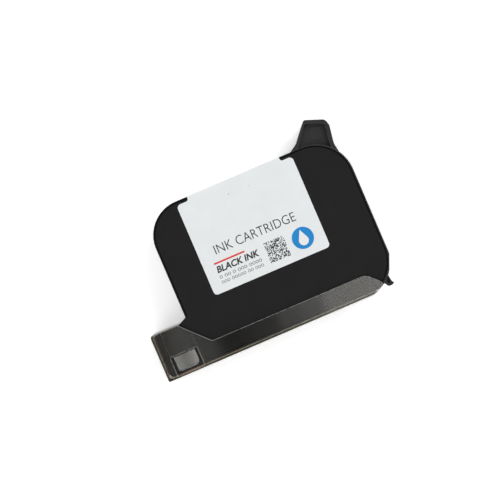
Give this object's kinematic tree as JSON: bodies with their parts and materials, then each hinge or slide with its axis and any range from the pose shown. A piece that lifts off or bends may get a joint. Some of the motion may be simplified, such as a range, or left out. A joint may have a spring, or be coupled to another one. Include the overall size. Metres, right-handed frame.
{
  "type": "thermal inkjet cartridge",
  "caption": "Flat thermal inkjet cartridge for date coding, with a side snout and thumb tab, and a clear clip-on cap over its nozzles and contacts.",
  "frame": {"origin": "on the surface the cartridge lies on, under the middle of its bounding box", "axes": "+X along the cartridge from the nozzle face to the hook end, +Y from the contact face to the thumb tab, +Z out of the labelled front face"},
  "size_m": [0.0866, 0.0642, 0.0168],
  "materials": {
    "frame_plastic": "fine satin mould finish, black",
    "cover_plastic": "fine matte spark texture, black",
    "liner_plastic": "soft satin, grey",
    "bag_film": "clear laminated film",
    "guard_film": "cloudy film",
    "plate_steel": "rolled stainless",
    "spring_steel": "rolled spring strip",
    "screen_steel": "fine woven mesh",
    "tape_film": "amber polyimide",
    "gold_plating": "gold plating",
    "die_silicon": "polished silicon",
    "bead_resin": "cured resin bead",
    "label_paper": "coated white label with printed panels",
    "cap_plastic": "clear moulded plastic with polished edges",
    "seal_rubber": "soft matte foam"
  },
  "bodies": {
    "cartridge": {"frame": "frame_plastic", "front_cover": "cover_plastic", "rear_cover": "cover_plastic", "ink_bag_liner": "liner_plastic", "front_bag_film": "bag_film", "rear_bag_film": "bag_film", "bow_spring": "spring_steel", "filter_screen": "screen_steel", "fill_port_ball": "plate_steel", "flex_circuit": "tape_film", "contact_pads": "gold_plating", "printhead_die": "die_silicon", "nozzle_plate": "gold_plating", "lower_encapsulant_bead": "bead_resin", "upper_encapsulant_bead": "bead_resin", "wrap_label": "label_paper"},
    "front_plate": {"front_pressure_plate": "plate_steel", "front_edge_guard": "guard_film"},
    "rear_plate": {"rear_pressure_plate": "plate_steel", "rear_edge_guard": "guard_film"},
    "cap": {"protective_cap": "cap_plastic", "nozzle_seal_pad": "seal_rubber"},
    "front_tongue": {"cap_front_tongue": "cap_plastic"},
    "rear_tongue": {"cap_rear_tongue": "cap_plastic"}
  },
  "joints": [
    {"name": "cap_pull", "type": "slide", "parent": "cartridge", "child": "cap", "axis": [0, -1, 0], "range_m": [0, 0.025]},
    {"name": "front_tongue_flex", "type": "hinge", "parent": "cap", "child": "front_tongue", "pos_m": [-0.03465, -0.02499, 0.01635], "axis": [-1, 0, 0], "range_deg": [0, 12], "stiffness_Nm_per_rad": 0.02},
    {"name": "rear_tongue_flex", "type": "hinge", "parent": "cap", "child": "rear_tongue", "pos_m": [-0.03465, -0.02499, 0.00045], "axis": [1, 0, 0], "range_deg": [0, 12], "stiffness_Nm_per_rad": 0.02},
    {"name": "front_plate_travel", "type": "slide", "parent": "cartridge", "child": "front_plate", "axis": [0, 0, -1], "range_m": [0, 0.0044], "stiffness_N_per_m": 60, "springref_m": -0.005, "deforming": ["bow_spring"]},
    {"name": "rear_plate_travel", "type": "slide", "parent": "cartridge", "child": "rear_plate", "axis": [0, 0, 1], "range_m": [0, 0.0044], "stiffness_N_per_m": 60, "springref_m": -0.005}
  ],
  "couplings": [
    {"joint": "rear_plate_travel", "follows": "front_plate_travel", "ratio": 1}
  ]
}
